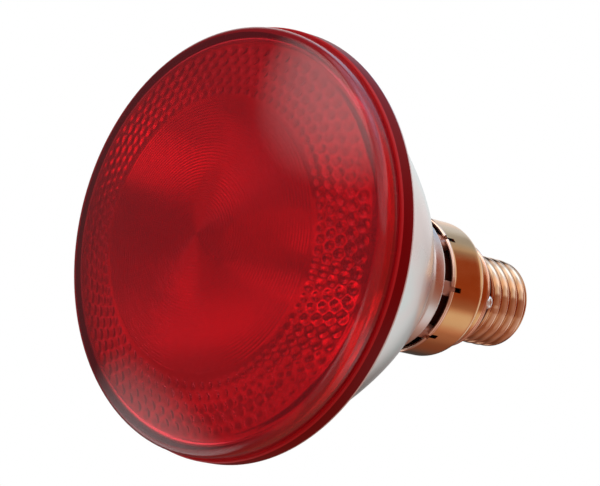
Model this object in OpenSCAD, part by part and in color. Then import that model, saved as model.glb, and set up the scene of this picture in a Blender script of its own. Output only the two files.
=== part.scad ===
// Infrared heat lamp bulb: a pressed-glass lamp with a deep red lens, a mirrored bowl
// and a skirted brass screw base. It stands on its domed lens, with the base upwards.
// All lengths are in millimetres, and +Z runs from the lens to the contact.

/* [Lens] */
// Widest diameter of the lens, at its rounded shoulder
lens_d = 119.6; // [112:0.1:126]
// Radius of the outside of the dome
lens_dome_r = 155; // [130:1:200]
// Radius of the shoulder between the dome and the side
lens_shoulder_r = 3; // [2:0.1:5]
// Thickness of the lens glass
lens_wall = 4; // [3:0.1:5]
// Height of the lens's side, from the shoulder to the seam
lens_side_h = 4; // [3:0.1:6]
// Roundness of the two rims beside the seam
seam_round = 0.5; // [0.2:0.1:0.8]
// Distance between the fine rings pressed inside the lens
ring_pitch = 0.9; // [0.8:0.1:2]
// Height of those rings above the glass
ring_relief = 0.12; // [0.05:0.01:0.2]
// Radius of the ringed middle of the lens
ring_zone_r = 37.8; // [30:0.1:39]

/* [Reflector] */
// How far the reflector's flange, the widest part of the lamp, stands out past the lens
flange_overhang = 0.95; // [0.5:0.05:3]
// Height of the flange behind the seam
flange_h = 5.3; // [3:0.1:7]
// Roundness of the flange's back corner
flange_round = 0.8; // [0.4:0.1:2]
// How far inside the lens's edge the bowl leaves the flange
bowl_rim_inset = 2.3; // [1:0.1:4]
// Focal length of the parabola outside the bowl
bowl_focal = 14; // [13:0.1:15]
// Thickness of the bowl's glass beside the flange
bowl_rim_wall = 4; // [3:0.1:5]
// Thickness of the bowl's glass at the bottom of the curve
bowl_tip_wall = 3.5; // [3:0.1:4.5]
// Distance from the mirror's lowest point to the glass floor behind it
neck_floor_t = 5.2; // [4.5:0.1:6.5]
// How far the stepped ring behind the bowl stands out past the neck
neck_ring_step = 3.7; // [2.2:0.1:4.7]
// Height of that ring
neck_ring_h = 5.8; // [4:0.1:7]
// Roundness of the ring's two edges
neck_ring_round = 1.4; // [0.5:0.1:1.8]
// Outside diameter of the neck that the base is crimped to
neck_d = 34.6; // [33.6:0.1:35.4]
// Thickness of the neck's wall
neck_wall = 3.3; // [2.3:0.1:3.6]
// Height of the neck above the stepped ring
neck_h = 11; // [9:0.1:12]
// Number of crimp lugs round the neck
lug_count = 8; // [4:1:10]
// Width of a lug
lug_w = 4.5; // [3:0.1:6]
// Height of a lug above the stepped ring
lug_h = 6.5; // [5:0.1:8]

/* [Base skirt] */
// How far the skirt's outside stands off the neck
skirt_stand_off = 2.7; // [2.2:0.1:3.7]
// Thickness of the brass sheet
skirt_t = 0.5; // [0.3:0.05:0.7]
// Height of the skirt from its lip to its end plate
skirt_h = 15.9; // [14:0.1:18]
// Open gap between the glass ring and the skirt's lip
skirt_gap = 3.8; // [2:0.1:4.5]
// Radius of the skirt's rounded shoulder
skirt_shoulder_r = 4; // [2:0.1:4.2]
// Radius of the rolled beads on the lip and on the collar
bead_r = 0.6; // [0.4:0.05:0.9]
// Gap between the screw shell and the collar round it, which the solder fills
collar_stand_off = 2.2; // [1.6:0.1:2.4]
// Height of the collar above the end plate
collar_h = 4.8; // [4:0.1:6]
// Width of a crimp slot in the lip
slot_w = 1.4; // [0.8:0.1:2]
// Length of a crimp slot
slot_l = 4; // [2:0.1:4.5]

/* [Screw shell] */
// Diameter over the crests of the thread
thread_crest_d = 26.2; // [25.8:0.05:26.4]
// Height of the crests above the roots
thread_relief = 0.8; // [0.5:0.05:0.95]
// Distance from one crest to the next, seven to the inch
thread_pitch = 3.63; // [3.4:0.01:3.8]
// Height of the threaded length
thread_h = 17; // [15:0.1:19]
// Thickness of the shell's sheet
shell_t = 0.4; // [0.3:0.05:0.5]
// Height of the shell's plain length, from its foot to the thread
shell_plain_h = 9.4; // [8:0.1:11]
// Radius of the roll that holds the insulator
shell_roll_r = 1.6; // [1:0.1:2]

/* [Contact end] */
// Height of the insulator above the shell's end
insulator_h = 3.2; // [2.5:0.1:4.5]
// Diameter of the insulator's outer face
insulator_face_d = 12.4; // [11.4:0.1:14]
// Diameter of the centre contact
contact_d = 10; // [9:0.1:11]
// Height of the centre contact
contact_h = 1.8; // [1.4:0.1:2.4]
// Diameter of the solder on the centre contact
contact_solder_d = 6.4; // [5:0.1:7.4]
// Height of that solder
contact_solder_h = 2; // [1.4:0.1:2.6]

/* [Ferrules and posts] */
// Gap between a ferrule and the wall of the neck
ferrule_wall_gap = 1.8; // [1.5:0.1:2]
// Outside diameter of a ferrule
ferrule_d = 8.4; // [7.6:0.1:8.8]
// Thickness of a ferrule's wall
ferrule_t = 0.4; // [0.3:0.05:0.5]
// Height of a ferrule
ferrule_h = 7; // [6:0.1:8]
// Depth of a ferrule's rim in the glass boss
ferrule_sink = 1.6; // [1:0.1:2.4]
// Outside diameter of the glass boss under a ferrule
boss_d = 10.6; // [10:0.1:11]
// Height of the glass boss above the neck's floor
boss_h = 4.5; // [3:0.1:5]
// Diameter of the hole that a post goes through
post_hole_d = 5; // [3:0.1:5.6]
// Diameter of a lead-in post
post_d = 1.6; // [1.2:0.1:2]
// Distance between the tips of the posts
post_tip_span = 24; // [20:0.1:28]
// Distance from the mirror's lowest point to where the posts start to bend outwards
post_bend_drop = 6; // [5.8:0.1:6.4]

/* [Filament] */
// Distance from the mirror's lowest point to the filament
filament_drop = 13; // [11:0.1:16]
// Number of turns in the coil
filament_turns = 18; // [12:1:22]
// Diameter of the coiled tungsten wire
filament_wire_d = 0.36; // [0.2:0.01:0.4]
// Diameter of the glass bridge between the posts
bridge_d = 3.4; // [2.8:0.1:3.8]
// Diameter of the support wire
support_d = 0.5; // [0.3:0.05:0.6]

/* [Leads] */
// Diameter of the lead wires
lead_d = 0.8; // [0.5:0.05:1]
// Outside diameter of the insulating sleeve
sleeve_d = 2.4; // [2:0.1:2.8]
// Length of the insulating sleeve
sleeve_l = 14; // [10:0.1:16]
// Outside diameter of the exhaust tube
exhaust_d = 5.2; // [4:0.1:5.6]
// Inside diameter of the exhaust tube
exhaust_bore_d = 2.4; // [1.5:0.1:3]
// Height of the exhaust tube above the neck's floor
exhaust_h = 7; // [5:0.1:9]
// Gap between the exhaust tube and the wall of the neck
exhaust_wall_gap = 2.4; // [1.4:0.1:3.4]

/* [Fits] */
// Gap between glass and the metal sealed into it
sealed_gap = 0.02; // [0.01:0.01:0.05]
// Gap between sheet-metal pieces that are pressed together
press_gap = 0.1; // [0.05:0.01:0.2]
// Gap between solder and the sheet it lies on
solder_gap = 0.04; // [0.02:0.01:0.1]

/* [Hidden] */
$fn = 96;
// One overrun serves all cuts
cut = 1;
// Directions of the side solder and of the first crimp slot round the lamp
solder_angle = -90;
crimp_angle = -94;
// Radius of the side solder as a share of the gap that it fills
side_solder_share = 0.75;
// Finish of the curves, the coils and the wires
bowl_bands = 40;
thread_sides = 40;
thread_rows = 27;
coil_steps = 10;
wire_sides = 6;
bend_steps = 14;
lead_sides = 8;
post_sides = 16;
wire_fn = 24;
bead_fn = 32;
dome_fn = 360;

// The lens's stations and radii
lens_r = lens_d / 2;
lens_corner_x = lens_r - lens_shoulder_r;
lens_corner_z = lens_dome_r - sqrt(pow(lens_dome_r - lens_shoulder_r, 2) - pow(lens_corner_x, 2));
seam_z = lens_corner_z + lens_side_h;

// The bowl's stations: both of its faces are parabolas about the lamp's axis
flange_r = lens_r + flange_overhang;
flange_z = seam_z + flange_h;
bowl_rim_r = lens_r - bowl_rim_inset;
bowl_tip_z = flange_z + pow(bowl_rim_r, 2) / (4 * bowl_focal);
mirror_tip_z = bowl_tip_z - bowl_tip_wall;
mirror_rim_r = bowl_rim_r - bowl_rim_wall;
mirror_focal = pow(mirror_rim_r, 2) / (4 * (mirror_tip_z - flange_z));
seam_bore_r = parabola_r(seam_z, mirror_focal, mirror_tip_z);

// The neck's stations
neck_r = neck_d / 2;
neck_ring_r = neck_r + neck_ring_step;
neck_ring_z = bowl_tip_z - neck_ring_h;
neck_floor_z = mirror_tip_z + neck_floor_t;
neck_bore_r = neck_r - neck_wall;
neck_end_z = bowl_tip_z + neck_h;

// The screw shell's radii
thread_wave = thread_relief / 2;
thread_mid_r = thread_crest_d / 2 - thread_wave;
shell_r = thread_mid_r + thread_wave / 2;
shell_wall_r = shell_r + press_gap;

// The skirt's stations
skirt_r = neck_r + skirt_stand_off;
skirt_lip_z = bowl_tip_z + skirt_gap;
skirt_plate_z = skirt_lip_z + skirt_h;
collar_bore_r = shell_r + collar_stand_off;
collar_r = collar_bore_r + skirt_t;
collar_z = skirt_plate_z + collar_h;
lug_r = skirt_r - skirt_t - press_gap;
lug_key_r = skirt_r - press_gap;

// The screw shell's stations
shell_foot_z = skirt_plate_z + skirt_t + press_gap;
shell_foot_r = collar_bore_r - press_gap;
thread_z = shell_foot_z + shell_plain_h;
shell_end_z = thread_z + thread_h;
thread_joint = shell_t;
thread_ramp = thread_pitch / 4;
// Axial place of the first full crest in the direction of the side solder
thread_crest_z = thread_z + thread_pitch;

// The contact end's stations
insulator_r = thread_mid_r - thread_wave - shell_t - press_gap;
insulator_seat_z = thread_z + thread_h / 2;
insulator_top_z = shell_end_z + insulator_h;
insulator_bore_r = sleeve_d / 2 + press_gap;
contact_z = insulator_top_z + contact_h;
lamp_top_z = contact_z + contact_solder_h;

// The ferrules', posts' and filament's stations
ferrule_r = ferrule_d / 2;
ferrule_x = neck_bore_r - ferrule_wall_gap - ferrule_r;
exhaust_y = neck_bore_r - exhaust_wall_gap - exhaust_d / 2;
ferrule_foot_z = neck_floor_z + boss_h - ferrule_sink;
ferrule_top_z = ferrule_foot_z + ferrule_h;
post_r = post_d / 2;
post_tip_x = post_tip_span / 2;
post_bend_z = mirror_tip_z - post_bend_drop;
filament_z = mirror_tip_z - filament_drop;
post_rise = (post_bend_z - filament_z) / 2;
wire_r = filament_wire_d / 2;
coil_r = post_r + wire_r + sealed_gap;
coil_l = post_tip_span - post_d - filament_wire_d;
coil_turns = filament_turns + 1 / 2;
bridge_r = bridge_d / 2;
bridge_z = post_bend_z + bridge_r;
bridge_l = 2 * ferrule_x + bridge_d;
support_r = support_d / 2;
support_loop_r = coil_r + wire_r + support_r;

// The leads' stations
lead_r = lead_d / 2;
side_lead_r = (shell_wall_r + collar_bore_r) / 2;
side_solder_r = (collar_bore_r - shell_r) * side_solder_share;
lead_rise = ferrule_h / 2;
lead_end_z = contact_z - contact_h / 2;
sleeve_r = sleeve_d / 2;
sleeve_z = insulator_seat_z + press_gap - sleeve_l;

// Radius of a parabola of revolution at height z, opening towards the lens
function parabola_r(z, focal, tip_z) = 2 * sqrt(focal * (tip_z - z));

// Points on the parabola from its tip to radius r, evenly spaced in radius
function parabola_points(r, focal, tip_z) =
    [for (i = [0 : bowl_bands]) let (x = r * i / bowl_bands) [x, tip_z - x * x / (4 * focal)]];

function unit(v) = v / norm(v);

// Rounded bowl shape of the lens: a dome, a corner circle tangent to it and an upright side
module dish_2d(side_r, corner_r, dome_r, top_z) {
    corner_x = side_r - corner_r;
    corner_z = lens_dome_r - sqrt(pow(dome_r - corner_r, 2) - pow(corner_x, 2));
    reach = dome_r / (dome_r - corner_r);
    touch_x = corner_x * reach;
    touch_z = lens_dome_r - (lens_dome_r - corner_z) * reach;
    intersection() {
        translate([0, lens_dome_r]) circle(r = dome_r, $fn = dome_fn);
        square([touch_x, touch_z]);
    }
    translate([corner_x, corner_z]) circle(r = corner_r);
    translate([0, touch_z]) square([corner_x, top_z - touch_z]);
    translate([0, corner_z]) square([side_r, top_z - corner_z]);
}

// Square-cornered bar from the axis, with its outer corners rounded
module bar_2d(r, z0, z1, low_round, high_round) {
    difference() {
        translate([0, z0]) square([r, z1 - z0]);
        if (low_round > 0) corner_2d(r, z0, low_round, 1);
        if (high_round > 0) corner_2d(r, z1, high_round, -1);
    }
}

// What is cut away to round a corner at [r, z]; side is 1 for a lower corner, -1 for an upper one
module corner_2d(r, z, rounding, side) {
    difference() {
        translate([r - rounding, side > 0 ? z - cut : z - rounding])
            square([rounding + cut, rounding + cut]);
        translate([r - rounding, z + side * rounding]) circle(r = rounding);
    }
}

// Round bar from point p to point q
module rod(p, q, r) {
    along = q - p;
    translate(p)
        rotate([0, acos(along[2] / norm(along)), atan2(along[1], along[0])])
            cylinder(h = norm(along), r = r, $fn = wire_fn);
}

// Ring of points round place i of a path, square to it; side_way is never along the path
function wire_ring(path, i, r, sides, side_way) =
    let (t = unit(path[min(i + 1, len(path) - 1)] - path[max(i - 1, 0)]),
        u = unit(cross(t, side_way)),
        w = cross(t, u))
    [for (k = [0 : sides - 1]) path[i] + r * (cos(360 * k / sides) * u + sin(360 * k / sides) * w)];

// Wire of radius r swept along a path, closed at both ends
module swept_wire(path, r, sides, side_way) {
    rings = len(path);
    points = [for (i = [0 : rings - 1]) each wire_ring(path, i, r, sides, side_way)];
    skin = [for (i = [0 : rings - 2], k = [0 : sides - 1])
        let (a = i * sides + k, b = i * sides + (k + 1) % sides)
        each [[a, a + sides, b + sides], [a, b + sides, b]]];
    ends = [[for (k = [0 : sides - 1]) k], [for (k = [sides - 1 : -1 : 0]) (rings - 1) * sides + k]];
    polyhedron(points = points, faces = concat(skin, ends));
}

// Curve from p to q that leaves and arrives upright; rise sets how soon it turns
function rising_curve(p, q, rise) = [for (i = [0 : bend_steps])
    let (t = i / bend_steps, back = 1 - t, up = [0, 0, rise])
    pow(back, 3) * p + 3 * t * back * (back * (p + up) + t * (q - up)) + pow(t, 3) * q];

// Path of a lead: a short upright foot at p, a curve to q and the straight rest to end
function lead_path(p, q, end) = concat([p], rising_curve(p + [0, 0, lead_d], q, lead_rise), [end]);

// Pressed lens, with fine rings inside its middle
module lens() {
    inner_r = lens_dome_r - lens_wall;
    color("firebrick")
        rotate_extrude() {
            difference() {
                dish_2d(lens_r, lens_shoulder_r, lens_dome_r, seam_z);
                corner_2d(lens_r, seam_z, seam_round, -1);
                dish_2d(seam_bore_r, lens_shoulder_r, inner_r, seam_z + cut);
            }
            intersection() {
                for (x = [ring_pitch : ring_pitch : ring_zone_r])
                    let (z = lens_dome_r - sqrt(inner_r * inner_r - x * x))
                    translate([x, z - ring_pitch / 2 + ring_relief])
                        circle(r = ring_pitch / 2, $fn = wire_fn);
                square([lens_r, lens_dome_r]);
            }
        }
}

// Outline of the reflector's glass, from the axis outwards
module reflector_2d() {
    low_z = seam_z - cut;
    join_z = flange_z - flange_h / 2;
    difference() {
        union() {
            bar_2d(flange_r, seam_z, flange_z, seam_round, flange_round);
            polygon(concat([[0, join_z], [bowl_rim_r, join_z]],
                [for (i = [bowl_bands : -1 : 0]) parabola_points(bowl_rim_r, bowl_focal, bowl_tip_z)[i]]));
            bar_2d(neck_ring_r, neck_ring_z, bowl_tip_z, neck_ring_round, neck_ring_round);
            bar_2d(neck_r, bowl_tip_z - neck_ring_h / 2, neck_end_z, 0, neck_ring_round / 2);
        }
        polygon(concat([[0, low_z], [parabola_r(low_z, mirror_focal, mirror_tip_z), low_z]],
            [for (i = [bowl_bands : -1 : 0]) parabola_points(seam_bore_r, mirror_focal, mirror_tip_z)[i]]));
        translate([0, neck_floor_z]) square([neck_bore_r, neck_end_z - neck_floor_z + cut]);
    }
}

// Upright glass block of width w on the neck's side, from height z up, with its outer face at radius r
module lug_block(w, r, z) {
    intersection() {
        translate([neck_r - neck_ring_round, -w / 2, z]) cube([r, w, bowl_tip_z + lug_h - z]);
        cylinder(h = neck_end_z, r = r);
    }
}

// Glass lug that a crimp slot of the skirt closes on, with its key in the slot
module crimp_lug() {
    lug_block(lug_w, lug_r, bowl_tip_z - neck_ring_round);
    lug_block(slot_w - 2 * press_gap, lug_key_r, skirt_lip_z - bead_r);
}

// Mirrored bowl: one pressed piece with its flange, its neck, the lugs and the ferrules' bosses
module reflector() {
    color("gainsboro")
        difference() {
            union() {
                rotate_extrude() reflector_2d();
                for (i = [0 : lug_count - 1]) rotate(crimp_angle + i * 360 / lug_count) crimp_lug();
                for (x = [-ferrule_x, ferrule_x])
                    translate([x, 0, neck_floor_z - cut]) cylinder(h = boss_h + cut, d = boss_d);
            }
            for (x = [-ferrule_x, ferrule_x]) {
                translate([x, 0, post_bend_z]) cylinder(h = neck_end_z - post_bend_z, d = post_hole_d);
                translate([x, 0, ferrule_foot_z - sealed_gap])
                    difference() {
                        cylinder(h = ferrule_h, r = ferrule_r + sealed_gap);
                        translate([0, 0, -cut])
                            cylinder(h = ferrule_h + 2 * cut, r = ferrule_r - ferrule_t - sealed_gap);
                    }
            }
            translate([0, exhaust_y, post_bend_z])
                cylinder(h = neck_end_z - post_bend_z, d = exhaust_bore_d);
        }
}

// Glass tube that the bulb was pumped through, melted shut at its tip
module exhaust_tip() {
    tube_r = exhaust_d / 2;
    color("whitesmoke")
        translate([0, exhaust_y, neck_floor_z])
            rotate_extrude()
                difference() {
                    union() {
                        square([tube_r, exhaust_h - tube_r]);
                        intersection() {
                            translate([0, exhaust_h - tube_r]) circle(r = tube_r);
                            square([tube_r, exhaust_h]);
                        }
                    }
                    translate([0, -cut]) square([exhaust_bore_d / 2, exhaust_h - tube_r + cut]);
                }
}

// Metal cup sealed into the reflector's glass, which carries a post and its current
module ferrule(side) {
    color("slategray")
        translate([side * ferrule_x, 0, ferrule_foot_z])
            rotate_extrude()
                difference() {
                    bar_2d(ferrule_r, 0, ferrule_h, 0, 2 * ferrule_t);
                    bar_2d(ferrule_r - ferrule_t, -cut, ferrule_h - ferrule_t, 0, ferrule_t);
                }
}

module ferrule_left() { ferrule(-1); }

module ferrule_right() { ferrule(1); }

// Stiff rod that carries current and one end of the filament, which its bend sets outwards
module post(side) {
    tip = [side * post_tip_x, 0, filament_z];
    head = [side * ferrule_x, 0, post_bend_z];
    root = [side * ferrule_x, 0, ferrule_top_z - ferrule_t - sealed_gap];
    path = concat([tip], rising_curve(tip + [0, 0, coil_r], head, post_rise), [root]);
    color("silver") swept_wire(path, post_r, post_sides, [0, 1, 0]);
}

module post_left() { post(-1); }

module post_right() { post(1); }

// Place on the coil's centre line after t turns
function coil_point(t) =
    let (x = coil_l * (t / coil_turns - 1 / 2))
    [x, coil_r * cos(360 * t), filament_z - coil_r * sin(360 * t)];

// Tail of the coil: it lies along the left post and turns in to the first turn
coil_tail = [
    [-post_tip_x, coil_r, filament_z + 2 * coil_r],
    [-post_tip_x, coil_r, filament_z + filament_wire_d],
    [filament_wire_d - post_tip_x, coil_r, filament_z]];

// The same path half a turn round the lamp's axis, from its other end
function turned_back(path) = [for (i = [len(path) - 1 : -1 : 0]) [-path[i][0], -path[i][1], path[i][2]]];

// The coil's path: a tail, the turns and the other tail
function coil_path() = concat(
    coil_tail,
    [for (i = [0 : coil_turns * coil_steps]) coil_point(i / coil_steps)],
    turned_back(coil_tail));

// Coiled tungsten wire between the posts
module filament() {
    color("dimgray") swept_wire(coil_path(), wire_r, wire_sides, [1, 0, 0]);
}

// Thin wire that holds the middle of the coil, with its foot in the glass bridge
module support_wire() {
    color("silver") {
        rod([0, 0, bridge_z], [0, 0, filament_z + support_loop_r], support_r);
        translate([0, 0, filament_z]) rotate([0, 90, 0])
            rotate_extrude() translate([support_loop_r + press_gap, 0]) circle(r = support_r, $fn = wire_fn);
    }
}

// Glass rod melted round both posts to keep them apart
module glass_bridge() {
    color("whitesmoke")
        difference() {
            rod([-bridge_l / 2, 0, bridge_z], [bridge_l / 2, 0, bridge_z], bridge_r);
            for (x = [-ferrule_x, ferrule_x])
                translate([x, 0, bridge_z - bridge_d]) cylinder(h = 2 * bridge_d, r = post_r + sealed_gap);
            translate([0, 0, bridge_z - bridge_d])
                cylinder(h = bridge_d + sealed_gap, r = support_r + sealed_gap);
        }
}

// Outline of the drawn skirt and its collar, set in from the outside by inset
module skirt_2d(inset) {
    low = inset > 0 ? cut : 0;
    shoulder_z = skirt_plate_z - skirt_shoulder_r;
    translate([0, skirt_lip_z - low]) square([skirt_r - inset, shoulder_z - skirt_lip_z + low]);
    translate([skirt_r - skirt_shoulder_r, shoulder_z]) circle(r = skirt_shoulder_r - inset);
    translate([0, skirt_lip_z]) square([skirt_r - skirt_shoulder_r, skirt_h - inset]);
    translate([0, skirt_lip_z]) square([collar_r - inset, skirt_h + collar_h + low]);
}

// Drawn brass skirt, crimped over the lugs of the neck
module base_skirt() {
    color("peru")
        difference() {
            rotate_extrude()
                union() {
                    difference() {
                        skirt_2d(0);
                        skirt_2d(skirt_t);
                    }
                    translate([skirt_r - skirt_t + bead_r, skirt_lip_z]) circle(r = bead_r, $fn = bead_fn);
                    translate([collar_bore_r + bead_r, collar_z]) circle(r = bead_r, $fn = bead_fn);
                }
            for (i = [0 : lug_count - 1])
                rotate(crimp_angle + i * 360 / lug_count)
                    translate([neck_r, -slot_w / 2, skirt_lip_z - cut])
                        cube([skirt_r, slot_w, slot_l + cut]);
        }
}

// Strength of the thread at height z: it fades in and out at both ends
function thread_fade(z) = let (d = min(z - thread_z, shell_end_z - shell_roll_r - z) / thread_ramp)
    d <= 0 ? 0 : d >= 1 ? 1 : (1 - cos(180 * d)) / 2;

// Outer radius of the rolled thread at height z and angle a: a right-hand knuckle wave
function thread_r(z, a) =
    let (wave = cos(360 * (z - thread_crest_z) / thread_pitch - a + solder_angle))
    shell_r + thread_fade(z) * (thread_mid_r - shell_r + thread_wave * wave);

// Threaded sheet as one closed skin: outer wall, inner wall and the two rims
module threaded_wall(z0, z1) {
    heights = [for (i = [0 : thread_rows]) z0 + (z1 - z0) * i / thread_rows];
    n = thread_sides;
    inner = (thread_rows + 1) * n;
    points = [for (inset = [0, shell_t], z = heights, k = [0 : n - 1])
        let (a = 360 * k / n, r = thread_r(z, a) - inset) [r * cos(a), r * sin(a), z]];
    walls = [for (i = [0 : thread_rows - 1], k = [0 : n - 1])
        let (a = i * n + k, b = i * n + (k + 1) % n)
        each [[a, b + n, b], [a, a + n, b + n],
            [inner + a, inner + b, inner + b + n], [inner + a, inner + b + n, inner + a + n]]];
    rims = [for (k = [0 : n - 1])
        let (a = k, b = (k + 1) % n, c = thread_rows * n + k, d = thread_rows * n + (k + 1) % n)
        each [[a, b, inner + b], [a, inner + b, inner + a],
            [c, inner + d, d], [c, inner + c, inner + d]]];
    polyhedron(points = points, faces = concat(walls, rims));
}

// Rolled brass screw shell: plain foot, thread and the roll that grips the insulator
module screw_shell() {
    wall_r = shell_r + press_gap / 2;
    bore_r = shell_r - shell_t - press_gap / 2;
    roll_z = shell_end_z - shell_roll_r;
    color("goldenrod") {
        difference() {
            rotate_extrude() {
                translate([bore_r, shell_foot_z]) square([wall_r - bore_r, shell_plain_h + thread_joint]);
                translate([bore_r, shell_foot_z]) square([shell_foot_r - bore_r, shell_t]);
            }
            rotate(solder_angle) translate([side_lead_r, 0, shell_foot_z - cut])
                cylinder(h = 2 * cut, r = lead_r + press_gap, $fn = wire_fn);
        }
        threaded_wall(thread_z, roll_z + thread_joint);
        rotate_extrude()
            intersection() {
                translate([wall_r - shell_roll_r, roll_z]) square([shell_roll_r, shell_roll_r]);
                translate([wall_r - shell_roll_r, roll_z])
                    difference() {
                        circle(r = shell_roll_r);
                        circle(r = shell_roll_r - shell_t - press_gap);
                    }
            }
    }
}

// Glass insulator that fills the shell's end and carries the centre contact
module insulator() {
    shoulder_r = shell_r - shell_roll_r - press_gap;
    color("black")
        rotate_extrude()
            polygon([
                [insulator_bore_r, insulator_seat_z], [insulator_r, insulator_seat_z],
                [insulator_r, shell_end_z - 2 * shell_roll_r], [shoulder_r, shell_end_z - shell_roll_r / 2],
                [shoulder_r, shell_end_z], [insulator_face_d / 2, insulator_top_z],
                [insulator_bore_r, insulator_top_z]]);
}

// Brass eyelet on the insulator's tip
module centre_contact() {
    color("goldenrod")
        rotate_extrude()
            difference() {
                bar_2d(contact_d / 2, insulator_top_z, contact_z, 0, contact_h / 2);
                translate([0, insulator_top_z - cut]) square([lead_r + press_gap, contact_h + 2 * cut]);
            }
}

// Solder that closes the eyelet over the centre lead
module contact_solder() {
    color("silver")
        intersection() {
            translate([0, 0, contact_z]) solder_cap(contact_solder_d / 2, contact_solder_h);
            translate([0, 0, contact_z]) cylinder(h = contact_solder_h, d = contact_solder_d);
        }
}

// Part of a ball: base radius r, height h
module solder_cap(r, h) {
    ball_r = (r * r + h * h) / (2 * h);
    translate([0, 0, h - ball_r]) sphere(r = ball_r);
}

// Solder that joins the side lead to the shell and the collar
module side_solder() {
    color("silver")
        difference() {
            rotate(solder_angle) translate([side_lead_r, 0, collar_z]) sphere(r = side_solder_r);
            cylinder(h = lamp_top_z, r = shell_r + press_gap / 2 + solder_gap);
            difference() {
                cylinder(h = collar_z + bead_r + solder_gap, r = skirt_r);
                cylinder(h = lamp_top_z, r = collar_bore_r - solder_gap);
            }
            rotate(solder_angle) translate([side_lead_r, 0, skirt_plate_z])
                cylinder(h = collar_z - skirt_plate_z, r = lead_r + sealed_gap, $fn = wire_fn);
        }
}

// Wire from the left ferrule to the centre contact
module centre_lead() {
    foot = [-ferrule_x, 0, ferrule_top_z];
    head = [0, 0, sleeve_z - press_gap];
    color("silver")
        swept_wire(lead_path(foot, head, [0, 0, lead_end_z]), lead_r, lead_sides, [0, 1, 0]);
}

// Wire from the right ferrule out to the side solder
module side_lead() {
    foot = [ferrule_x, 0, ferrule_top_z];
    head = [side_lead_r * cos(solder_angle), side_lead_r * sin(solder_angle), shell_foot_z - press_gap];
    end = head + [0, 0, collar_z - shell_foot_z];
    color("silver")
        swept_wire(lead_path(foot, head, end), lead_r, lead_sides, cross(head - foot, [0, 0, 1]));
}

// Insulating sleeve over the centre lead
module lead_sleeve() {
    color("ivory")
        translate([0, 0, sleeve_z])
            difference() {
                cylinder(h = sleeve_l + insulator_top_z - insulator_seat_z - 2 * press_gap, r = sleeve_r);
                translate([0, 0, -cut])
                    cylinder(h = insulator_top_z, r = lead_r + sealed_gap);
            }
}

lens();
reflector();
exhaust_tip();
ferrule_left();
ferrule_right();
post_left();
post_right();
filament();
support_wire();
glass_bridge();
base_skirt();
screw_shell();
insulator();
centre_contact();
contact_solder();
side_solder();
centre_lead();
side_lead();
lead_sleeve();
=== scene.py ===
import bmesh
import bpy
import numpy as np
from mathutils import Matrix


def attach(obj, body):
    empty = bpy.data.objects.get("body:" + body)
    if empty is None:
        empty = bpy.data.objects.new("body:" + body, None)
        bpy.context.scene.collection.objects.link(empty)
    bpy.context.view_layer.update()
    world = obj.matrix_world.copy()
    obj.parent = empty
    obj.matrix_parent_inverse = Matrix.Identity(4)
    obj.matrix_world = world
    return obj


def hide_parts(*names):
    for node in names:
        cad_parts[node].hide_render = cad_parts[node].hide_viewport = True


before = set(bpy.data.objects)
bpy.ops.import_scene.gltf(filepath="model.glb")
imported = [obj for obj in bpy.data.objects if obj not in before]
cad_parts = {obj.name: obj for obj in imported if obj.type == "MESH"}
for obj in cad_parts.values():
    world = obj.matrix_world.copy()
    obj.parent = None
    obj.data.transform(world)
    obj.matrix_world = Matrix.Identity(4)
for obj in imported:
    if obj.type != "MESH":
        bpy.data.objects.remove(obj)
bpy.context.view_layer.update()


# The lens. A disc of deep red glass, pressed in a mould with a smooth domed face and a rounded
# shoulder. Fine rings are pressed inside its middle, and staggered rows of small round lenslets
# inside its border. All sizes are in millimetres.
MM_PER_METRE = 1000.0
LENS_R = 59.8
DOME_R = 155.0
SHOULDER_R = 3.0
LENS_WALL = 4.0
SEAM_Z = 18.01
SEAM_BORE = 56.01
SEAM_ROUND = 0.5
RING_PITCH = 0.9
RING_RELIEF = 0.12
RING_EDGE = 37.8
RING_SHADE = 0.3
LENSLET_ROWS = (40.5, 43.4, 46.3, 49.2, 52.1)
LENSLETS_ROUND = 80
LENSLET_RELIEF = 0.42
LENSLET_SHARE = 0.0335
BORDER_EDGE = 54.2
BORDER_START = RING_EDGE + 0.4
BORE_END = BORDER_EDGE * 1.004
COARSE, FINE = 160, 640
DOME_STEPS, SHOULDER_STEPS, BORE_STEPS, SMALL_STEPS = 48, 14, 8, 4
BORDER_ROWS, MIDDLE_ROWS = 50, 253
GLASS_IOR = 1.47
LENSLET_PAINTED_SHADE = (0.7, 0.035, 0.05)
RED_FLAT = (0.97, 0.075, 0.115)
ROUGH_NOISE = (0.3, 0.7)
TONE_NOISE = (0.35, 0.65)
MERGE_GAP = 1e-6
CREASE_ANGLE = 40


def even_turn(steps):
    """Equal steps of angle once round the lamp's axis, in radians."""
    return np.arange(steps) * 2 * np.pi / steps


def turned(outline, angles):
    """Surface of revolution: the outline's point (r, z) stands at (r cos a, r sin a, z) for each
    angle a. Returns a grid of points with one row for each point of the outline."""
    r, z = np.asarray(outline, float)[:, :1], np.asarray(outline, float)[:, 1:]
    return np.stack([r * np.cos(angles), r * np.sin(angles), z + 0 * angles], axis=-1)


def arc(centre, radius, start, end, steps):
    """Points (r, z) on a circle about the centre, at equal steps of angle from start to end."""
    angle = np.radians(np.linspace(start, end, steps + 1))
    return np.stack([centre[0] + radius * np.cos(angle), centre[1] + radius * np.sin(angle)], axis=-1)


def net(rows, columns, first=0):
    """Faces of a grid of points: each joins a point to its neighbours in the next row and column,
    and the last column to the first."""
    i = np.arange(rows - 1)[:, None]
    j = np.arange(columns)[None, :]
    k = (j + 1) % columns
    corners = [i * columns + j, i * columns + k, (i + 1) * columns + k, (i + 1) * columns + j]
    return first + np.stack(corners, axis=-1).reshape(-1, 4)


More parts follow.
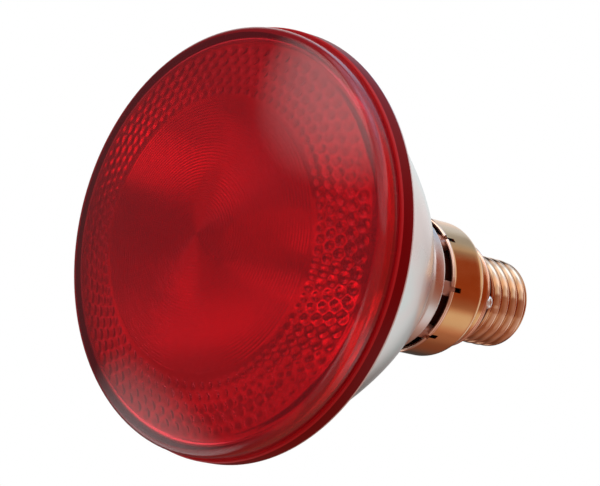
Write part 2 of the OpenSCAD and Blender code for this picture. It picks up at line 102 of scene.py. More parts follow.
def joint(fine, coarse, few, many):
    """Triangles between a ring of many points that starts at index fine and a ring of few points
    that starts at index coarse, where each coarse point lies beside every (many / few)th fine one."""
    share = many // few
    j = np.arange(many)
    near = (j + share // 2) // share % few
    fans = np.stack([fine + j, fine + (j + 1) % many, coarse + near], axis=-1)
    i = np.arange(few)
    middle = fine + i * share + (share + 1) // 2
    wedges = np.stack([coarse + i, middle, coarse + (i + 1) % few], axis=-1)
    return np.concatenate([fans, wedges])


def piece(name, parts, materials, wall=None):
    """Makes one object from parts, each a set of points in millimetres, its faces and the number of
    its material. Points that meet are merged, faces are turned outwards and shaded smooth, and an
    edge past the crease angle stays crisp. A wall, in millimetres, thickens a sheet inwards.
    A fourth value of a point is kept as its relief, which a material can read."""
    points, faces, numbers, reliefs, first = [], [], [], [], 0
    for some_points, some_faces, number in parts:
        flat = np.asarray(some_points).reshape(-1, np.shape(some_points)[-1])
        points.append(flat[:, :3] / MM_PER_METRE)
        reliefs.append(flat[:, 3] if flat.shape[1] == 4 else np.zeros(len(flat)))
        for group in some_faces:
            faces += (group + first).tolist()
            numbers += [number] * len(group)
        first += len(flat)
    relief = np.concatenate(reliefs)
    mesh = bpy.data.meshes.new(name)
    mesh.from_pydata(np.concatenate(points), [], faces)
    mesh.polygons.foreach_set("material_index", np.array(numbers, dtype=np.int32))
    if np.any(relief):
        mesh.attributes.new("relief", "FLOAT", "POINT").data.foreach_set("value", relief)
    for material in materials:
        mesh.materials.append(material)
    work = bmesh.new()
    work.from_mesh(mesh)
    bmesh.ops.remove_doubles(work, verts=work.verts, dist=MERGE_GAP)
    bmesh.ops.recalc_face_normals(work, faces=work.faces)
    if wall:
        bmesh.ops.solidify(work, geom=work.faces[:], thickness=wall / MM_PER_METRE)
    work.to_mesh(mesh)
    work.free()
    mesh.polygons.foreach_set("use_smooth", np.ones(len(mesh.polygons), dtype=bool))
    mesh.set_sharp_from_angle(angle=np.radians(CREASE_ANGLE))
    made = bpy.data.objects.new(name, mesh)
    bpy.context.scene.collection.objects.link(made)
    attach(made, "root")
    return made


def adder(tree):
    """Returns a function that adds a node to the tree, sets its own values and feeds its sockets
    from other nodes or with plain values."""
    def add(kind, sockets=(), **values):
        node = tree.nodes.new(kind)
        for key, value in values.items():
            setattr(node, key, value)
        for socket, source in dict(sockets).items():
            if isinstance(source, bpy.types.NodeSocket):
                tree.links.new(source, node.inputs[socket])
            else:
                node.inputs[socket].default_value = source
        return node

    return add


def finish(name, colour, roughness, **sockets):
    """A material with one Principled shader whose sockets are set to plain values. Returns the
    material, its shader node and the function that adds nodes beside it."""
    material = bpy.data.materials.new(name)
    material.use_nodes = True
    shader = material.node_tree.nodes["Principled BSDF"]
    shader.inputs["Base Color"].default_value = (*colour, 1)
    shader.inputs["Roughness"].default_value = roughness
    for socket, value in sockets.items():
        shader.inputs[socket.replace("_", " ")].default_value = value
    return material, shader, adder(material.node_tree)


def link(shader, socket, source):
    """Feeds a shader's socket from another node's output."""
    shader.id_data.links.new(source, shader.inputs[socket])


def unevenness_group():
    """Node group for the slow unevenness of blown, pressed or polished surfaces: noise of the given
    size on Object coordinates, stretched by Stretch along the lamp's axis, put out as a mask from 0
    to 1 and as a normal bent by Depth, in metres."""
    group = bpy.data.node_groups.new("unevenness", "ShaderNodeTree")
    for socket in ("Scale", "Stretch", "Depth", "Detail"):
        group.interface.new_socket(name=socket, in_out="INPUT", socket_type="NodeSocketFloat")
    group.interface.new_socket(name="Mask", in_out="OUTPUT", socket_type="NodeSocketFloat")
    group.interface.new_socket(name="Normal", in_out="OUTPUT", socket_type="NodeSocketVector")
    add = adder(group)
    given = add("NodeGroupInput").outputs
    place = add("ShaderNodeTexCoord").outputs["Object"]
    axes = add("ShaderNodeCombineXYZ", {"X": 1.0, "Y": 1.0, "Z": given["Stretch"]}).outputs[0]
    stretched = add("ShaderNodeVectorMath", {0: place, 1: axes}, operation="MULTIPLY").outputs[0]
    noise = add("ShaderNodeTexNoise", {"Vector": stretched, "Scale": given["Scale"],
                                       "Detail": given["Detail"]}).outputs["Fac"]
    bump = add("ShaderNodeBump", {"Height": noise, "Distance": given["Depth"]}).outputs["Normal"]
    add("NodeGroupOutput", {"Mask": noise, "Normal": bump})
    return group


unevenness = unevenness_group()


def ramp(add, value, low, high, start=0.0, end=1.0, **values):
    """Goes from start to end while the value goes from low to high, and stays there beyond them."""
    sockets = {"Value": value, "From Min": low, "From Max": high, "To Min": start, "To Max": end}
    return add("ShaderNodeMapRange", sockets, **values).outputs["Result"]


def mixed(add, mask, near, far):
    """Colour that is near where the mask is 0 and far where it is 1. The colours of a Mix node are
    its sockets 6 and 7, and its mixed colour is output 2."""
    ends = [end if isinstance(end, bpy.types.NodeSocket) else (*end, 1) for end in (near, far)]
    return add("ShaderNodeMix", {0: mask, 6: ends[0], 7: ends[1]}, data_type="RGBA").outputs[2]


def relief_of(add):
    """The relief that piece() keeps with the points."""
    return add("ShaderNodeAttribute", attribute_name="relief").outputs["Fac"]


def blended(shader, add, mask, near, far):
    """Feeds the shader's colour from near where the mask is 0 and from far where it is 1, and
    returns that colour."""
    colour = mixed(add, mask, near, far)
    link(shader, "Base Color", colour)
    return colour


def uneven(shader, add, scale, depth, stretch=1.0, rough=None, tones=None, detail=2.0):
    """Gives a material the unevenness group's normal and, where they are given, a roughness and a
    colour that wander between two values of rough and between two tones. Returns that colour."""
    group = add("ShaderNodeGroup", node_tree=unevenness)
    for socket, value in (("Scale", scale), ("Stretch", stretch), ("Depth", depth), ("Detail", detail)):
        group.inputs[socket].default_value = value
    link(shader, "Normal", group.outputs["Normal"])
    if rough:
        link(shader, "Roughness", ramp(add, group.outputs["Mask"], *ROUGH_NOISE, *rough))
    if tones:
        return blended(shader, add, ramp(add, group.outputs["Mask"], *TONE_NOISE), *tones)
    return None


red_face, shader, add = finish("red_glass_face", (0.94, 0.055, 0.085), 0.03, IOR=GLASS_IOR,
                               Transmission_Weight=0.88)
uneven(shader, add, scale=30, depth=0.00006, rough=(0.02, 0.06))
red_rim, shader, add = finish("red_glass_rim", (0.9, 0.022, 0.038), 0.12, IOR=GLASS_IOR,
                              Transmission_Weight=0.7)
uneven(shader, add, scale=30, depth=0.00006, rough=(0.08, 0.16))
red_inside, shader, add = finish("red_glass_pressed_side", (0.9, 0.05, 0.08), 0.12, IOR=GLASS_IOR,
                                 Transmission_Weight=0.78)
uneven(shader, add, scale=400, depth=0.00001, rough=(0.08, 0.15))
# Painted shade: the inner face is painted darker where it is raised, fully on the lenslets' caps and a
# little on the ring crests, for the dark dots and lines that their bending of the light shows.
blended(shader, add, relief_of(add), RED_FLAT, LENSLET_PAINTED_SHADE)

# Centres of the rounds between the sides and the domes, outside and inside.
corner_r = LENS_R - SHOULDER_R
corner_z = DOME_R - np.sqrt((DOME_R - SHOULDER_R) ** 2 - corner_r ** 2)
lean = np.degrees(np.arcsin(corner_r / (DOME_R - SHOULDER_R)))
inner_dome = DOME_R - LENS_WALL
bore_corner_r = SEAM_BORE - SHOULDER_R
bore_corner_z = DOME_R - np.sqrt((inner_dome - SHOULDER_R) ** 2 - bore_corner_r ** 2)
bore_lean = np.degrees(np.arcsin(bore_corner_r / (inner_dome - SHOULDER_R)))

outside = arc((0, DOME_R), DOME_R, -90, lean - 90, DOME_STEPS)
rim = np.concatenate([
    arc((corner_r, corner_z), SHOULDER_R, lean - 90, 0, SHOULDER_STEPS),
    arc((LENS_R - SEAM_ROUND, SEAM_Z - SEAM_ROUND), SEAM_ROUND, 0, 90, SMALL_STEPS),
    [[SEAM_BORE, SEAM_Z]]])
bore = np.concatenate([
    [[SEAM_BORE, SEAM_Z]],
    arc((bore_corner_r, bore_corner_z), SHOULDER_R, 0, bore_lean - 90, BORE_STEPS),
    [[BORE_END, DOME_R - np.sqrt(inner_dome ** 2 - BORE_END ** 2)]]])
bore = bore[bore[:, 0] >= BORDER_EDGE]


def inner_face(r, angle):
    """Height and relief of the lens's inner face at radius r and an angle: the inner sphere, plus a
    cosine wave for the rings of the middle, or a parabolic cap over each lenslet's own little disc."""
    z = DOME_R - np.sqrt(inner_dome ** 2 - r ** 2)
    rings = (1 - np.cos(2 * np.pi * r / RING_PITCH)) / 2 * (r < RING_EDGE)
    pitch = 2 * np.pi / LENSLETS_ROUND
    caps = 0 * r
    for row, row_r in enumerate(LENSLET_ROWS):
        off = (angle - row % 2 * pitch / 2 + pitch / 2) % pitch - pitch / 2
        away = ((r - row_r) ** 2 + (row_r * off) ** 2) / (LENSLET_SHARE * row_r) ** 2
        caps = np.maximum(caps, np.clip(1 - away, 0, 1))
    height = z + RING_RELIEF * rings + LENSLET_RELIEF * caps
    return np.stack([height, RING_SHADE * rings + caps], axis=-1)


def disc_grid(radii, steps):
    """Grid of points on the lens's inner face at the given radii and equal steps of angle."""
    angle = even_turn(steps)[None, :]
    r = np.asarray(radii)[:, None] + 0 * angle
    place = np.stack([r * np.cos(angle), r * np.sin(angle)], axis=-1)
    return np.concatenate([place, inner_face(r, angle + 0 * r)], axis=-1)


def unraised(grid, relief=0.0):
    """The grid's points with a fourth value, one plain relief."""
    return np.pad(grid, ((0, 0), (0, 0), (0, 1)), constant_values=relief)


face_grid = turned(outside, even_turn(COARSE))
rim_grid = turned(rim, even_turn(COARSE))
bore_grid = unraised(turned(bore, even_turn(COARSE)))
border_grid = disc_grid(np.linspace(BORDER_EDGE, BORDER_START, BORDER_ROWS), FINE)
middle_grid = disc_grid(np.linspace(RING_EDGE, 0, MIDDLE_ROWS), COARSE)
border_first, middle_first = np.cumsum([bore_grid[..., 0].size, border_grid[..., 0].size])
inner_points = np.concatenate([grid.reshape(-1, 4) for grid in (bore_grid, border_grid, middle_grid)])
inner_faces = [
    net(len(bore_grid), COARSE),
    joint(border_first, border_first - COARSE, COARSE, FINE),
    net(len(border_grid), FINE, border_first),
    joint(middle_first - FINE, middle_first, COARSE, FINE),
    net(len(middle_grid), COARSE, middle_first)]
lens_parts = [(face_grid, [net(len(face_grid), COARSE)], 0), (rim_grid, [net(len(rim_grid), COARSE)], 1),
              (inner_points, inner_faces, 2)]
lens = piece("pressed_lens", lens_parts, [red_face, red_rim, red_inside])
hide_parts("lens")


# The reflector. One pressed bowl of clear glass with a flange, a stepped ring, a neck and lugs. Its
# inside is mirrored with aluminium, which shows silver through the glass from outside. The red coat
# of the lens runs on over the flange and stops just before its pale back corner.
FLANGE_R = 60.75
FLANGE_Z = 23.31
FLANGE_ROUND = 0.8
COAT_END = 1.0
BOWL_R = 57.5
BOWL_TIP = 82.35
BOWL_FOCAL = BOWL_R ** 2 / 4 / (BOWL_TIP - FLANGE_Z)
MIRROR_TIP = 78.85
MIRROR_FOCAL = SEAM_BORE ** 2 / 4 / (MIRROR_TIP - SEAM_Z)
NECK_RING_R = 21.0
NECK_RING_Z = 76.55
NECK_RING_ROUND = 1.4
NECK_RING_CUT = 0.6
NECK_R = 17.3
NECK_BORE = 14.0
NECK_FLOOR = 84.05
NECK_END = 93.35
LUGS = 8
FIRST_LUG = -94.0
LUG_SIZE = (1.35, 2.25, 4.0)
LUG_PLACE = (18.15, 84.9)
LUG_POWER = 0.45
BOWL_COLUMNS = 192
BOWL_ROWS, MIRROR_ROWS, EDGE_STEPS = 60, 90, 8
BLOCK_ROWS, BLOCK_COLUMNS = 13, 24
SILVER_TONES = ((0.76, 0.61, 0.58), (0.69, 0.76, 0.74))


def parabola(focal, tip, radii):
    """Points (r, z) on a bowl that opens downwards: z falls from the tip by r squared over four
    times the focal length."""
    radii = np.asarray(radii, float)
    return np.stack([radii, tip - radii ** 2 / 4 / focal], axis=-1)


def block(half, power):
    """Grid of points on a rounded block about the origin: a ball whose sines and cosines are raised
    to a power below 1, which swells it towards its corners."""
    def swell(value):
        return np.sign(value) * np.abs(value) ** power

    rise = np.radians(np.linspace(-90, 90, BLOCK_ROWS))[:, None]
    round_ = np.radians(np.linspace(0, 360, BLOCK_COLUMNS + 1))[None, :-1]
    out, x, y = swell(np.cos(rise)), swell(np.cos(round_)), swell(np.sin(round_))
    return np.stack([half[0] * out * x, half[1] * out * y, half[2] * swell(np.sin(rise)) + 0 * x], axis=-1)


def spun(points, degrees):
    """The points turned about the lamp's axis."""
    c, s = np.cos(np.radians(degrees)), np.sin(np.radians(degrees))
    x, y, z = np.moveaxis(points, -1, 0)
    return np.stack([c * x - s * y, s * x + c * y, z], axis=-1)


red_coat, shader, add = finish("red_coated_flange", (0.2, 0.0, 0.002), 0.35, Specular_IOR_Level=0.08)
uneven(shader, add, scale=120, depth=0.00002)
seam_red, shader, add = finish("sealed_seam", (0.9, 0.04, 0.06), 0.4, Specular_IOR_Level=0.2)
uneven(shader, add, scale=120, depth=0.00002)
lip_red, shader, add = finish("red_flange_lip", (0.5, 0.008, 0.012), 0.35, Specular_IOR_Level=0.2)
uneven(shader, add, scale=120, depth=0.00002)
pale_edge, shader, add = finish("pale_glass_edge", (0.72, 0.5, 0.48), 0.2, Coat_Weight=1.0,
                                Coat_Roughness=0.03)
uneven(shader, add, scale=120, depth=0.00003)
silver_outside, shader, add = finish("silvered_glass_outside", (0.74, 0.74, 0.74), 0.3, Metallic=1.0,
                                     Coat_Weight=0.4, Coat_Roughness=0.04)
uneven(shader, add, scale=45, depth=0.0003, stretch=0.3, rough=(0.24, 0.36), tones=SILVER_TONES)
# The neck's glass is painted near-black brown: painted shade for the shadowed gap between the stepped ring
# and the skirt's lip.
neck_glass_painted_shade, shader, add = finish("clear_neck_glass", (0.09, 0.018, 0.01), 0.12, Coat_Weight=0.3,
                                 Coat_Roughness=0.03)
uneven(shader, add, scale=150, depth=0.00006, rough=(0.1, 0.25))
# The lugs are painted a light brown: a painted reflection of the brass that stands round them.
lug_glass_painted_reflection, shader, add = finish("crimped_lug_glass", (0.4, 0.17, 0.12), 0.2, Coat_Weight=0.8,
                                Coat_Roughness=0.03)
uneven(shader, add, scale=150, depth=0.00006)
mirror_inside, shader, add = finish("aluminium_mirror", (0.9, 0.9, 0.9), 0.06, Metallic=1.0)
uneven(shader, add, scale=80, depth=0.00003, rough=(0.04, 0.1))

seam = [[SEAM_BORE, SEAM_Z], [LENS_R - SEAM_ROUND, SEAM_Z]]
lip = np.concatenate([
    [[LENS_R - SEAM_ROUND, SEAM_Z]],
    arc((FLANGE_R - SEAM_ROUND, SEAM_Z + SEAM_ROUND), SEAM_ROUND, -90, 0, SMALL_STEPS)])
coated = [[FLANGE_R, SEAM_Z + SEAM_ROUND], [FLANGE_R, FLANGE_Z - COAT_END]]
bare_edge = np.concatenate([
    [[FLANGE_R, FLANGE_Z - COAT_END]],
    arc((FLANGE_R - FLANGE_ROUND, FLANGE_Z - FLANGE_ROUND), FLANGE_ROUND, 0, 90, EDGE_STEPS)])
bowl_end = np.sqrt(4 * BOWL_FOCAL * (BOWL_TIP - NECK_RING_Z)) + NECK_RING_CUT
ring_round_r = NECK_RING_R - NECK_RING_ROUND
bowl = np.concatenate([
    [[FLANGE_R - FLANGE_ROUND, FLANGE_Z]],
    parabola(BOWL_FOCAL, BOWL_TIP, np.linspace(BOWL_R, bowl_end, BOWL_ROWS)),
    arc((ring_round_r, NECK_RING_Z + NECK_RING_ROUND), NECK_RING_ROUND, -90, 0, EDGE_STEPS),
    arc((ring_round_r, BOWL_TIP - NECK_RING_ROUND), NECK_RING_ROUND, 0, 90, EDGE_STEPS)])
neck = np.concatenate([
    [[ring_round_r, BOWL_TIP], [NECK_R, BOWL_TIP]],
    arc((NECK_R - SEAM_ROUND, NECK_END - SEAM_ROUND), SEAM_ROUND, 0, 90, SMALL_STEPS),
    [[NECK_BORE, NECK_END], [NECK_BORE, NECK_FLOOR], [0, NECK_FLOOR]]])
mirror = parabola(MIRROR_FOCAL, MIRROR_TIP, np.linspace(0, SEAM_BORE, MIRROR_ROWS))
bands = ((seam, seam_red), (lip, lip_red), (coated, red_coat), (bare_edge, pale_edge),
         (bowl, silver_outside), (neck, neck_glass_painted_shade), (mirror, mirror_inside))
lug = block(LUG_SIZE, LUG_POWER) + np.array([LUG_PLACE[0], 0, LUG_PLACE[1]])
bowl_turn = even_turn(BOWL_COLUMNS)
bowl_parts = [(turned(outline, bowl_turn), [net(len(outline), BOWL_COLUMNS)], number)
              for number, (outline, _) in enumerate(bands)]
bowl_parts += [(spun(lug, FIRST_LUG + 360 / LUGS * n), [net(*lug.shape[:2])], len(bands))
               for n in range(LUGS)]
bowl_materials = [material for _, material in bands] + [lug_glass_painted_reflection]
reflector = piece("mirrored_bowl", bowl_parts, bowl_materials)
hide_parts("reflector")


# The posts and the filament. Two nickel posts stand in metal cups sealed into the glass behind the
# mirror, and a glass bridge and a thin wire steady the coil of tungsten at the mirror's focus. The
# glass exhaust tip is where the bulb was emptied and sealed.
def dress(node, material):
    """Gives a CAD node's surface a material in place of its own."""
    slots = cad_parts[node].data.materials
    for i in range(len(slots)):
        slots[i] = material


nickel, shader, add = finish("drawn_nickel", (0.62, 0.6, 0.56), 0.25, Metallic=1.0)
uneven(shader, add, scale=900, depth=0.00001, stretch=0.1, rough=(0.18, 0.35))
tungsten, shader, add = finish("coiled_tungsten", (0.2, 0.2, 0.22), 0.4, Metallic=1.0)
uneven(shader, add, scale=2000, depth=0.00001, rough=(0.3, 0.5))
cup_metal, shader, add = finish("sealing_metal", (0.42, 0.42, 0.43), 0.35, Metallic=1.0)
uneven(shader, add, scale=500, depth=0.00001, rough=(0.28, 0.45))
clear_glass, shader, add = finish("clear_glass_rod", (0.95, 0.98, 0.97), 0.02, IOR=GLASS_IOR,
                                  Transmission_Weight=1.0)
uneven(shader, add, scale=150, depth=0.00002)
for node in ("post_left", "post_right", "support_wire"):
    dress(node, nickel)
for node in ("ferrule_left", "ferrule_right"):
    dress(node, cup_metal)
for node in ("glass_bridge", "exhaust_tip"):
    dress(node, clear_glass)
dress("filament", tungsten)


# The skirt. A cup drawn from copper-toned brass sheet. Its rolled lip is crimped over the glass lugs
# at eight slots, and a rounded shoulder leads to a collar that stands round the screw shell's foot.
SKIRT_R = 20.0
SKIRT_WALL = 0.5
SKIRT_SHEET_SHARE = 0.96
SKIRT_LIP = 86.15
SKIRT_PLATE = 102.05
SKIRT_SHOULDER = 4.0
SHOULDER_SWEEP = 84
BEAD_R = 0.6
BEAD_CURL = 75
COLLAR_R = 15.6
COLLAR_END = 106.85
COLLAR_FILLET = 0.5
SLOT_W = 1.4
SLOT_L = 4.0
SLOT_END = SKIRT_LIP + SLOT_L
PLAIN_START = SLOT_END + 1.0
SLOT_COLUMNS, PLAIN_COLUMNS = 4, 20
SLOT_ROWS, PLAIN_ROWS = 9, 6
SWEEP_STEPS, BEAD_STEPS, FILLET_STEPS = 14, 16, 6
SKIRT_TONES = ((0.7, 0.36, 0.15), (0.76, 0.42, 0.19))
LIP_PAINTED_HIGHLIGHT = (0.85, 0.55, 0.42)
COLLAR_PAINTED_HIGHLIGHT = (0.85, 0.5, 0.36)
PAINTED_SHADE = (0.1, 0.018, 0.006)


def slotted_angles():
    """Angles round the skirt in radians. Each lug's slot takes a few narrow steps, and even steps
    lead from its far side to the next slot."""
    half, share = np.degrees(SLOT_W / 2 / SKIRT_R), 360 / LUGS
    one = np.concatenate([np.linspace(-half, half, SLOT_COLUMNS + 1)[:-1],
                          np.linspace(half, share - half, PLAIN_COLUMNS + 1)[:-1]])
    return np.radians(FIRST_LUG + (one[None, :] + share * np.arange(LUGS)[:, None]).ravel())


def upright(radius, low, high, rows):
    """Points (r, z) straight up at one radius."""
    return np.stack([np.full(rows, radius), np.linspace(low, high, rows)], axis=-1)


def by_height(add, low, high):
    """Mask that rises from 0 to 1 between two heights, in millimetres, along the lamp's axis."""
    place = add("ShaderNodeTexCoord").outputs["Object"]
    height = add("ShaderNodeSeparateXYZ", {0: place}).outputs["Z"]
    return ramp(add, height, low / MM_PER_METRE, high / MM_PER_METRE)


bead_inset = BEAD_R - SKIRT_WALL
shoulder_z = SKIRT_PLATE - SKIRT_SHOULDER
fillet_centre = (COLLAR_R + COLLAR_FILLET, SKIRT_PLATE + COLLAR_FILLET)
skirt_outline = np.concatenate([
    arc((SKIRT_R + bead_inset, SKIRT_LIP), BEAD_R, -180, BEAD_CURL, BEAD_STEPS),
    upright(SKIRT_R, SKIRT_LIP + 2 * BEAD_R, SLOT_END, SLOT_ROWS),
    upright(SKIRT_R, PLAIN_START, shoulder_z, PLAIN_ROWS),
    arc((SKIRT_R - SKIRT_SHOULDER, shoulder_z), SKIRT_SHOULDER, 0, SHOULDER_SWEEP, SWEEP_STEPS)[1:],
    arc(fillet_centre, COLLAR_FILLET, -90, -180, FILLET_STEPS),
    arc((COLLAR_R + bead_inset, COLLAR_END), BEAD_R, -BEAD_CURL, 180, BEAD_STEPS)])
skirt_points = turned(skirt_outline, slotted_angles())
skirt_faces = net(*skirt_points.shape[:2])
row, column = np.divmod(np.arange(len(skirt_faces)), skirt_points.shape[1])
over_lug = column % (SLOT_COLUMNS + PLAIN_COLUMNS) < SLOT_COLUMNS
in_slot = over_lug & (skirt_outline[row + 1, 1] <= SLOT_END)
skirt_brass, shader, add = finish("drawn_brass", (0.72, 0.4, 0.2), 0.16, Metallic=1.0)
sheet = uneven(shader, add, scale=160, depth=0.00004, stretch=0.3, rough=(0.1, 0.2), tones=SKIRT_TONES)
# Painted highlight: the bead of the rolled lip is painted paler and pinker than the rest of the sheet.
lip_highlight_mask = by_height(add, SKIRT_LIP + BEAD_R, SKIRT_LIP + 2 * BEAD_R)
sheet = blended(shader, add, lip_highlight_mask, LIP_PAINTED_HIGHLIGHT, sheet)
# Painted highlight: the near half of the collar's bead is painted paler than the sheet.
collar_highlight_mask = by_height(add, COLLAR_END - 2 * BEAD_R, COLLAR_END - BEAD_R)
sheet = blended(shader, add, collar_highlight_mask, sheet, COLLAR_PAINTED_HIGHLIGHT)
# Painted shade: the far half of the collar's bead is painted almost black, for the shadowed groove between
# the collar and the shell.
collar_end_shade_mask = by_height(add, COLLAR_END, COLLAR_END + BEAD_R / 2)
blended(shader, add, collar_end_shade_mask, sheet, PAINTED_SHADE)
skirt = piece("drawn_skirt", [(skirt_points, [skirt_faces[~in_slot]], 0)], [skirt_brass],
              wall=SKIRT_WALL * SKIRT_SHEET_SHARE)
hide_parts("base_skirt")


# The screw shell. Thin brass rolled into a right-hand knuckle thread. A flange at its plain foot lies
# inside the collar, a punched dent keeps the shell from turning, and a roll grips the insulator.
THREAD_PITCH = 3.63
THREAD_MID_R = 12.7
THREAD_WAVE = 0.4
THREAD_FADE = THREAD_PITCH / 4
SHELL_R = 12.9
SHELL_WALL = 0.4
SHELL_SHEET_SHARE = 0.9
SHELL_FOOT = 102.65
SHELL_FOOT_R = 15.0
THREAD_START = 112.05
SHELL_END = 129.05
SHELL_ROLL = 1.6
THREAD_END = SHELL_END - SHELL_ROLL
THREAD_ROWS, THREAD_COLUMNS = 96, 144
FOOT_STEPS, ROLL_STEPS = 5, 12
SOLDER_ANGLE = -90.0
DENT_ANGLE = -84.0
DENT_Z = 115.0
DENT_R = 0.6
DENT_DEPTH = 0.4
CREST_START, CREST_END = 0.25, 0.85
FOOT_FADE = 0.6
VALLEY_SHADE_TONES = ((0.56, 0.25, 0.11), (0.64, 0.31, 0.15))
CREST_PAINTED_HIGHLIGHT = (0.84, 0.55, 0.38)


def thread_surface(z, angle):
    """Radius and relief of the rolled thread at a height and an angle: a cosine wave that climbs one
    pitch in a right-hand turn, faded in and out over a quarter of a pitch, less a bell-shaped dent."""
    reach = np.minimum(z - THREAD_START, THREAD_END - z) / THREAD_FADE
    fade = (1 - np.cos(np.pi * np.clip(reach, 0, 1))) / 2
    climb = (z - THREAD_START - THREAD_PITCH) / THREAD_PITCH * 2 * np.pi
    wave = np.cos(climb - angle + np.radians(SOLDER_ANGLE))
    away = ((angle - np.radians(DENT_ANGLE)) * SHELL_R) ** 2 + (z - DENT_Z) ** 2
    dent = DENT_DEPTH * np.exp(-away / DENT_R ** 2)
    return SHELL_R + fade * (THREAD_MID_R - SHELL_R + THREAD_WAVE * wave) - dent, fade * (1 + wave) / 2


around = np.linspace(-1, 1, THREAD_COLUMNS + 1)[None, :-1] * np.pi
thread_z = np.linspace(THREAD_START - THREAD_FADE, THREAD_END, THREAD_ROWS)[:, None] + 0 * around
thread_r, thread_relief = thread_surface(thread_z, around)
thread_grid = np.stack([thread_r * np.cos(around), thread_r * np.sin(around), thread_z, thread_relief],
                       axis=-1)
foot_outline = np.concatenate([
    [[SHELL_FOOT_R, SHELL_FOOT + SHELL_WALL]],
    arc((SHELL_R + SHELL_WALL, SHELL_FOOT + 2 * SHELL_WALL), SHELL_WALL, -90, -180, FOOT_STEPS)])
roll_outline = arc((SHELL_R - SHELL_ROLL, THREAD_END), SHELL_ROLL, 0, 90, ROLL_STEPS)[1:]
shell_points = np.concatenate([
    unraised(turned(foot_outline, around[0])), thread_grid,
    unraised(turned(roll_outline, around[0]), CREST_START)])
shell_brass, shader, add = finish("rolled_brass", (0.74, 0.4, 0.18), 0.1, Metallic=1.0)
# Painted highlight and shade: the thread's crests are painted pale and its valleys dark brown, following
# the relief kept with the points.
valley_shade = uneven(shader, add, scale=220, depth=0.00003, rough=(0.08, 0.18), tones=VALLEY_SHADE_TONES)
crest_highlight_mask = ramp(add, relief_of(add), CREST_START, CREST_END)
lit_and_shaded_thread = blended(shader, add, crest_highlight_mask, valley_shade, CREST_PAINTED_HIGHLIGHT)
# Painted shade: the shell's plain foot below the thread is painted almost black, for the shadow and dark
# reflection of the collar's bead.
blended(shader, add, by_height(add, THREAD_START - FOOT_FADE, THREAD_START), PAINTED_SHADE, lit_and_shaded_thread)
shell = piece("rolled_shell", [(shell_points, [net(*shell_points.shape[:2])], 0)], [shell_brass],
              wall=SHELL_WALL * SHELL_SHEET_SHARE)
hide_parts("screw_shell")


# The contact end. Black glass carries a brass eyelet, and solder closes it over the centre lead,
# which a woven glass sleeve covers inside the base. A drop of solder on the collar's bead holds the
# end of the side lead.
DROP_SIZE = (1.4, 2.0, 1.5)
DROP_PLACE = (15.3, 107.7)
DROP_POWER = 0.9
black_glass, shader, add = finish("black_glass", (0.012, 0.012, 0.014), 0.12, Coat_Weight=0.6,
                                  Coat_Roughness=0.04)
uneven(shader, add, scale=200, depth=0.00005, rough=(0.08, 0.2))
solder, shader, add = finish("solder", (0.82, 0.82, 0.83), 0.2, Metallic=1.0)
uneven(shader, add, scale=900, depth=0.0001, rough=(0.1, 0.35), detail=4.0)
sleeve_cloth, shader, add = finish("woven_glass_sleeve", (0.8, 0.77, 0.68), 0.8)
uneven(shader, add, scale=3000, depth=0.00004)
for node, material in (("insulator", black_glass), ("centre_contact", skirt_brass),
                       ("contact_solder", solder), ("lead_sleeve", sleeve_cloth),
                       ("centre_lead", nickel), ("side_lead", nickel)):
    dress(node, material)
drop = block(DROP_SIZE, DROP_POWER) + np.array([DROP_PLACE[0], 0, DROP_PLACE[1]])
solder_drop = piece("solder_drop", [(spun(drop, SOLDER_ANGLE), [net(*drop.shape[:2])], 0)], [solder])
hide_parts("side_solder")


# The studio. A pale floor that only shows from above, a tent of soft light round the lamp, and the
# camera, which looks up at the lens from below and lies on its side, so that the base points right.
CAMERA_PLACE = (-0.004124, -0.633463, -0.598073)
CAMERA_TILT = np.radians(45.299)
CAMERA_ROLL = np.radians(103.475)
CAMERA_LENS = 192.886
CAMERA_SENSOR = 36.0
CAMERA_REACH = (0.01, 20.0)
FLOOR_HALF = 3.0

# The camera's own axes: level and raised before it is rolled, right and up after.
level = np.array([1.0, 0.0, 0.0])
raised = np.array([0.0, -np.sin(CAMERA_TILT), np.cos(CAMERA_TILT)])
ahead = np.array([0.0, np.cos(CAMERA_TILT), np.sin(CAMERA_TILT)])
right = np.cos(CAMERA_ROLL) * level + np.sin(CAMERA_ROLL) * raised
up = np.cos(CAMERA_ROLL) * raised - np.sin(CAMERA_ROLL) * level
camera_data = bpy.data.cameras.new("camera")
camera_data.sensor_fit = "HORIZONTAL"
camera_data.sensor_width = CAMERA_SENSOR
camera_data.lens = CAMERA_LENS
camera_data.clip_start, camera_data.clip_end = CAMERA_REACH
camera = bpy.data.objects.new("camera", camera_data)
bpy.context.scene.collection.objects.link(camera)
turn = np.eye(4)
turn[:3, :3], turn[:3, 3] = np.array([right, up, -ahead]).T, CAMERA_PLACE
camera.matrix_world = Matrix(turn.tolist())
bpy.context.scene.camera = camera


def product(add, one, other):
    """One value times another."""
    return add("ShaderNodeMath", {0: one, 1: other}, operation="MULTIPLY").outputs[0]


corners = FLOOR_HALF * np.array([[-1, -1, 0], [1, -1, 0], [1, 1, 0], [-1, 1, 0]])
floor_mesh = bpy.data.meshes.new("floor")
floor_mesh.from_pydata(corners, [], [[0, 1, 2, 3]])
floor = bpy.data.objects.new("floor", floor_mesh)
bpy.context.scene.collection.objects.link(floor)
pale_floor, shader, add = finish("pale_floor", (0.86, 0.86, 0.85), 0.9)
seen = add("ShaderNodeLightPath").outputs["Is Camera Ray"]
under = add("ShaderNodeNewGeometry").outputs["Backfacing"]
above = add("ShaderNodeMath", {0: 1.0, 1: under}, operation="SUBTRACT").outputs[0]
clear = add("ShaderNodeBsdfTransparent").outputs[0]
shown = add("ShaderNodeMixShader", {"Fac": product(add, seen, above), 1: clear, 2: shader.outputs[0]})
link(pale_floor.node_tree.nodes["Material Output"], "Surface", shown.outputs[0])
floor_mesh.materials.append(pale_floor)

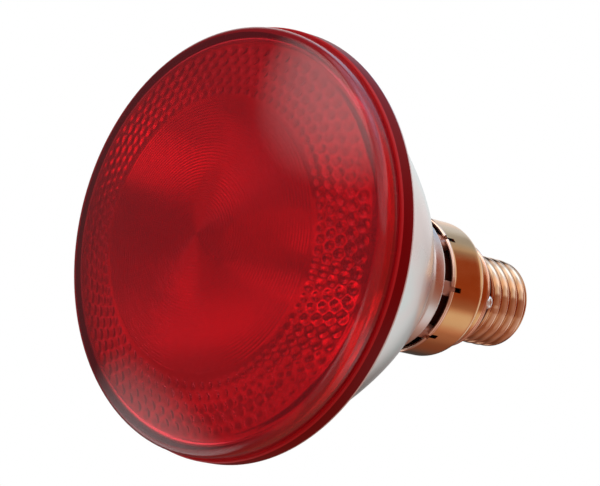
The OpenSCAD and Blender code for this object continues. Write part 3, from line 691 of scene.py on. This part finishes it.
world = bpy.data.worlds.new("light_tent")
world.use_nodes = True
bpy.context.scene.world = world
tent_node = adder(world.node_tree)


def card(to_right, to_up, to_ahead, low, high, bright=1.0):
    """Soft light from one side, given along the camera's own axes: it rises from nothing to bright
    as the view turns towards that side, between two cosines of the angle to it."""
    side = to_right * right + to_up * up + to_ahead * ahead
    view = tent_node("ShaderNodeTexCoord").outputs["Generated"]
    cosine = tent_node("ShaderNodeVectorMath", {0: view, 1: tuple(side / np.linalg.norm(side))},
                       operation="DOT_PRODUCT").outputs["Value"]
    return ramp(tent_node, cosine, low, high, end=bright, interpolation_type="SMOOTHSTEP")


def both(edge, glow):
    """Light that is only there where both of its parts are."""
    return product(tent_node, edge, glow)


WALL_LIGHT = 0.07
WARM_LIGHT = 0.42
DIM_LIGHT = 0.8
WHITE = (1.0, 1.0, 1.0)
WARM_TONE = (1.0, 0.55, 0.42)
RED_TONE = (0.78, 0.17, 0.05)
COOL_TONE = (0.74, 1.0, 1.3)
BROWN_TONE = (1.0, 0.4, 0.26)
# The lens and the mirror behind it see these. The two that stand in front of the lens, one high and
# one low, leave a gap between them that shows as the dark strip across it.
lens_cards = (
    card(-0.5, 0.82, -0.32, 0.86, 0.99, 2.6),
    both(card(0.25, 1.0, 0.0, 0.2, 0.42, 0.85), card(0.22, 0.2, -1.0, 0.5, 0.78)),
    both(card(0.0, -1.0, 0.0, 0.28, 0.5, 0.58), card(0.15, -0.2, -1.0, 0.45, 0.7)),
    card(-0.45, -0.25, -0.85, 0.93, 0.985, 1.1),
    card(-0.8, -0.6, 0.35, 0.85, 0.97, 1.6))
# The silvered bowl and the brass see these. Two of them stand beyond the lamp and fade out at one
# soft horizon, which shows in the brass.
base_cards = (
    card(0.5, 0.85, -0.15, 0.72, 0.86, 1.25),
    card(0.6, 0.55, 0.6, 0.94, 0.99, 0.62),
    card(0.3, -0.9, 0.3, 0.5, 1.0, 0.28),
    card(0.45, 0.9, -0.05, 0.93, 0.985, 2.2),
    both(card(0.0, 1.0, 0.0, -0.35, 0.1), card(0.1, 0.35, 0.93, 0.78, 0.96, 0.95)),
    both(card(0.0, 1.0, 0.0, -0.35, 0.1), card(0.75, 0.0, 0.66, 0.78, 0.95, 0.9)),
    card(0.62, -0.25, 0.75, 0.9, 0.98, 0.85),
    card(0.85, -0.3, 0.1, 0.35, 0.75, WARM_LIGHT),
    card(0.3, -0.65, -0.7, 0.1, 0.8, WARM_LIGHT),
    both(card(0.0, -1.0, 0.0, 0.3, 0.6), card(0.85, -0.45, 0.12, 0.7, 0.99, 0.85)))
light = WALL_LIGHT
for lamp in lens_cards + base_cards:
    light = tent_node("ShaderNodeMath", {0: light, 1: lamp}, operation="MAXIMUM").outputs[0]
dimness = ramp(tent_node, light, DIM_LIGHT, WARM_LIGHT)
tone = WHITE
for share, tint in ((card(0.4, 0.6, 0.7, 0.9, 0.98), COOL_TONE),
                    (card(0.45, 0.9, 0.0, 0.85, 0.95), COOL_TONE),
                    (both(card(0.3, -0.9, 0.3, 0.5, 0.9), dimness), BROWN_TONE),
                    (both(card(0.6, -0.5, -0.6, -0.1, 0.5), dimness), WARM_TONE),
                    (both(card(0.97, 0.1, 0.17, 0.83, 0.96), dimness), RED_TONE)):
    tone = mixed(tent_node, share, tone, tint)
# A camera ray sees plain white in place of the tent.
seen = tent_node("ShaderNodeLightPath").outputs["Is Camera Ray"]
strength = tent_node("ShaderNodeMix", {0: seen, 2: light, 3: 1.0}, data_type="FLOAT").outputs[0]
background = world.node_tree.nodes["Background"]
link(background, "Color", mixed(tent_node, seen, tone, WHITE))
link(background, "Strength", strength)

bpy.context.scene.view_settings.view_transform = "Standard"
